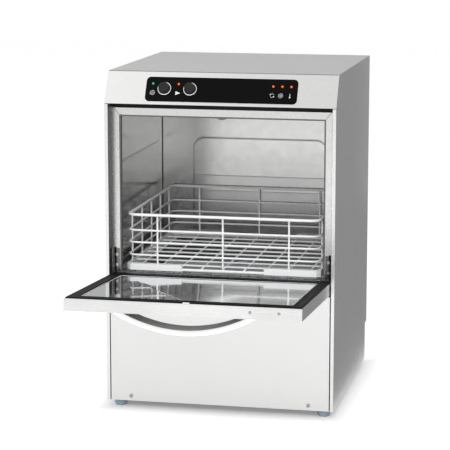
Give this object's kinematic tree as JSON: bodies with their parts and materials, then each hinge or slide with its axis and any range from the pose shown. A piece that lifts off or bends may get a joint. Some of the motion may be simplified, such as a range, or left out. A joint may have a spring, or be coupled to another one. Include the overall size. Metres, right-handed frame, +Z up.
{
  "type": "glass washer machine",
  "caption": "Under-counter glass washer with drop-down door, bow handle, sloping control fascia, wire basket, and wash and rinse arms above and below.",
  "frame": {"origin": "on the floor, under the centre of the machine's outline with its door open", "axes": "+X to the right as seen from the front, +Y to the back, +Z up"},
  "size_m": [0.47, 0.8142, 0.691],
  "materials": {
    "stainless_outer": "brushed",
    "stainless_inner": "satin",
    "polished_inner": "polished",
    "handle_satin": "satin",
    "rubber_black": "matte",
    "plastic_black": "matte",
    "strip_gloss": "gloss",
    "bezel_bright": "polished",
    "lamp_green": "gloss",
    "lamp_amber": "gloss",
    "steel_small": "satin",
    "basket_white": "satin",
    "arm_plastic": "satin",
    "foot_plastic": "satin",
    "pump_plastic": "matte",
    "softener_plastic": "matte",
    "motor_metal": "cast",
    "boiler_steel": "satin",
    "element_steel": "satin",
    "hose_rubber": "matte",
    "valve_brass": "satin",
    "board_green": "satin"
  },
  "bodies": {
    "cabinet": {"arm_spindles": "steel_small", "back_panel": "stainless_outer", "base_tray": "stainless_inner", "basket_base": "basket_white", "basket_long_walls": "basket_white", "basket_rails": "stainless_inner", "basket_side_walls": "basket_white", "button_bezels": "bezel_bright", "cable_gland": "plastic_black", "chamber_back": "stainless_inner", "chamber_wrap": "stainless_inner", "control_board": "board_green", "control_fascia": "stainless_outer", "control_strip": "strip_gloss", "delivery_manifold": "hose_rubber", "door_catch": "plastic_black", "dosing_pumps": "pump_plastic", "drain_hoses": "hose_rubber", "drain_pump": "pump_plastic", "front_frame": "stainless_inner", "front_screws": "steel_small", "heating_elements": "element_steel", "hinge_brackets": "steel_small", "hinge_housings": "plastic_black", "hinge_pins": "steel_small", "inlet_valve": "valve_brass", "lower_front_panel": "stainless_outer", "opening_seal": "rubber_black", "power_lamp": "lamp_green", "pressure_switch": "pump_plastic", "pump_volute": "pump_plastic", "rinse_boiler": "boiler_steel", "side_panel_left": "stainless_outer", "side_panel_right": "stainless_outer", "status_lamps": "lamp_amber", "suction_hose": "hose_rubber", "sump_filter": "stainless_inner", "tank": "stainless_inner", "tank_filter": "stainless_inner", "top_cover": "stainless_outer", "wash_pump_motor": "motor_metal", "water_softener": "softener_plastic"},
    "door": {"door_bushes": "arm_plastic", "door_gasket": "rubber_black", "door_handle": "handle_satin", "door_inner_plate": "polished_inner", "door_screws": "steel_small", "door_skin": "stainless_outer"},
    "power_button": {"power_button": "plastic_black"},
    "start_button": {"start_button": "plastic_black"},
    "lower_wash_arm": {"lower_wash_arm": "arm_plastic"},
    "lower_rinse_arm": {"lower_rinse_arm": "arm_plastic"},
    "upper_wash_arm": {"upper_wash_arm": "arm_plastic"},
    "upper_rinse_arm": {"upper_rinse_arm": "arm_plastic"},
    "impeller": {"pump_impeller": "pump_plastic"},
    "standpipe": {"overflow_standpipe": "arm_plastic"},
    "foot_front_left": {"foot_front_left": "foot_plastic"},
    "foot_front_right": {"foot_front_right": "foot_plastic"},
    "foot_rear_left": {"foot_rear_left": "foot_plastic"},
    "foot_rear_right": {"foot_rear_right": "foot_plastic"}
  },
  "joints": [
    {"name": "door_hinge", "type": "hinge", "parent": "cabinet", "child": "door", "pos_m": [0, -0.0566, 0.2744], "axis": [-1, 0, 0], "range_deg": [0, 86.4]},
    {"name": "power_press", "type": "slide", "parent": "cabinet", "child": "power_button", "axis": [0, 0.8716, -0.4903], "range_m": [0, 0.003], "stiffness_N_per_m": 700, "springref_m": -0.002},
    {"name": "start_press", "type": "slide", "parent": "cabinet", "child": "start_button", "axis": [0, 0.8716, -0.4903], "range_m": [0, 0.003], "stiffness_N_per_m": 700, "springref_m": -0.002},
    {"name": "lower_wash_spin", "type": "hinge", "parent": "cabinet", "child": "lower_wash_arm", "pos_m": [0, 0.1628, 0.248], "axis": [0, 0, 1], "continuous": true},
    {"name": "lower_rinse_spin", "type": "hinge", "parent": "cabinet", "child": "lower_rinse_arm", "pos_m": [0, 0.1628, 0.259], "axis": [0, 0, 1], "continuous": true},
    {"name": "upper_wash_spin", "type": "hinge", "parent": "cabinet", "child": "upper_wash_arm", "pos_m": [0, 0.1628, 0.599], "axis": [0, 0, 1], "continuous": true},
    {"name": "upper_rinse_spin", "type": "hinge", "parent": "cabinet", "child": "upper_rinse_arm", "pos_m": [0, 0.1628, 0.586], "axis": [0, 0, 1], "continuous": true},
    {"name": "impeller_spin", "type": "hinge", "parent": "cabinet", "child": "impeller", "pos_m": [0, 0.2228, 0.091], "axis": [1, 0, 0], "continuous": true},
    {"name": "standpipe_lift", "type": "slide", "parent": "cabinet", "child": "standpipe", "axis": [0, 0, 1], "range_m": [0, 0.006]},
    {"name": "foot_front_left_screw", "type": "slide", "parent": "cabinet", "child": "foot_front_left", "axis": [0, 0, -1], "range_m": [0, 0.015]},
    {"name": "foot_front_right_screw", "type": "slide", "parent": "cabinet", "child": "foot_front_right", "axis": [0, 0, -1], "range_m": [0, 0.015]},
    {"name": "foot_rear_left_screw", "type": "slide", "parent": "cabinet", "child": "foot_rear_left", "axis": [0, 0, -1], "range_m": [0, 0.015]},
    {"name": "foot_rear_right_screw", "type": "slide", "parent": "cabinet", "child": "foot_rear_right", "axis": [0, 0, -1], "range_m": [0, 0.015]}
  ]
}
